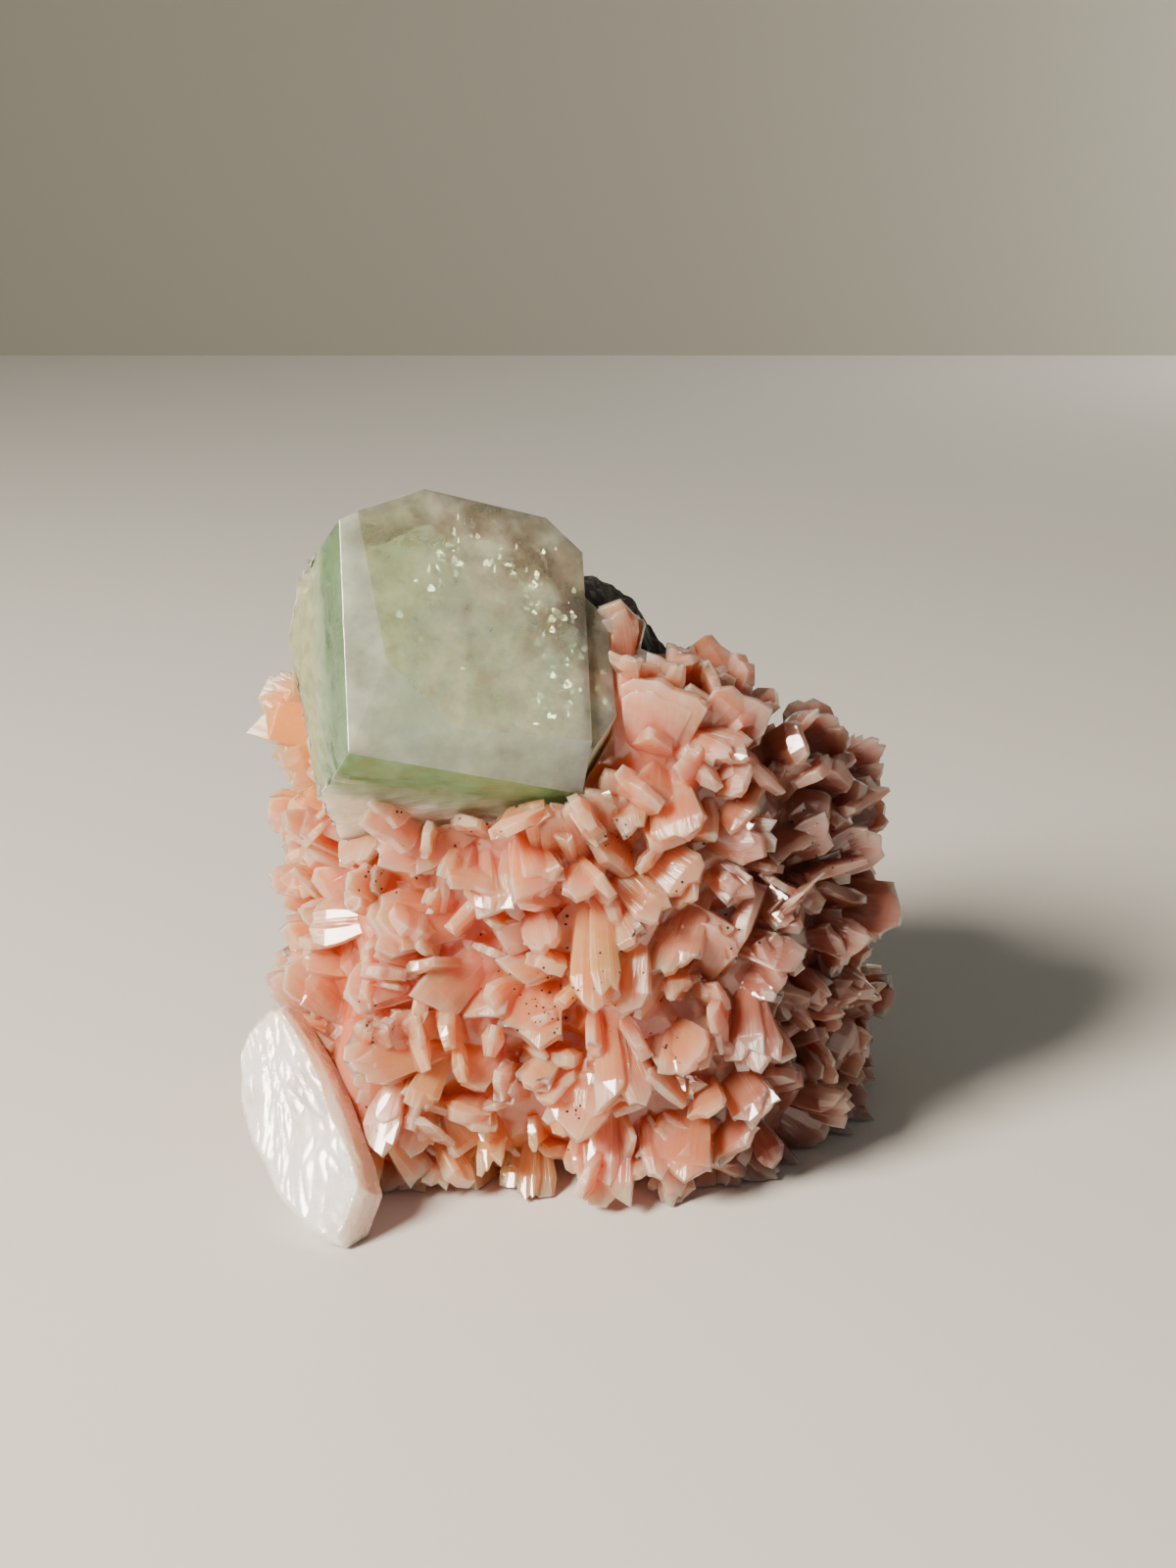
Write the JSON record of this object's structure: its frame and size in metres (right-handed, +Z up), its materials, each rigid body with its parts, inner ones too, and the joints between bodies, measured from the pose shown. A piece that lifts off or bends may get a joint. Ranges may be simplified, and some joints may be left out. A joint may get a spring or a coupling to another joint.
{
  "type": "apophyllite and stilbite mineral cluster",
  "caption": "Mineral cluster: a clear pale green block crystal and a white pearly crystal on a crust of peach bladed crystals over dark rock.",
  "frame": {"origin": "on the surface that the rock stands on, in the middle of the crust's width, under the front half of the rock's flat foot", "axes": "+Z up, front towards -Y with the green crystal at the upper left of the front, +X to the right of the front"},
  "size_m": [0.0693, 0.0523, 0.0681],
  "materials": {
    "basalt": "rough broken basalt, matt",
    "peach_stilbite": "waxy, slightly glassy, translucent",
    "green_apophyllite": "glassy, clear with milky outer zones",
    "white_stilbite": "pearly, finely scaled"
  },
  "bodies": {
    "root": {"basalt_matrix": "basalt", "stilbite_crust": "peach_stilbite", "apophyllite_crystal": "green_apophyllite", "pearly_stilbite_crystal": "white_stilbite"}
  },
  "joints": []
}
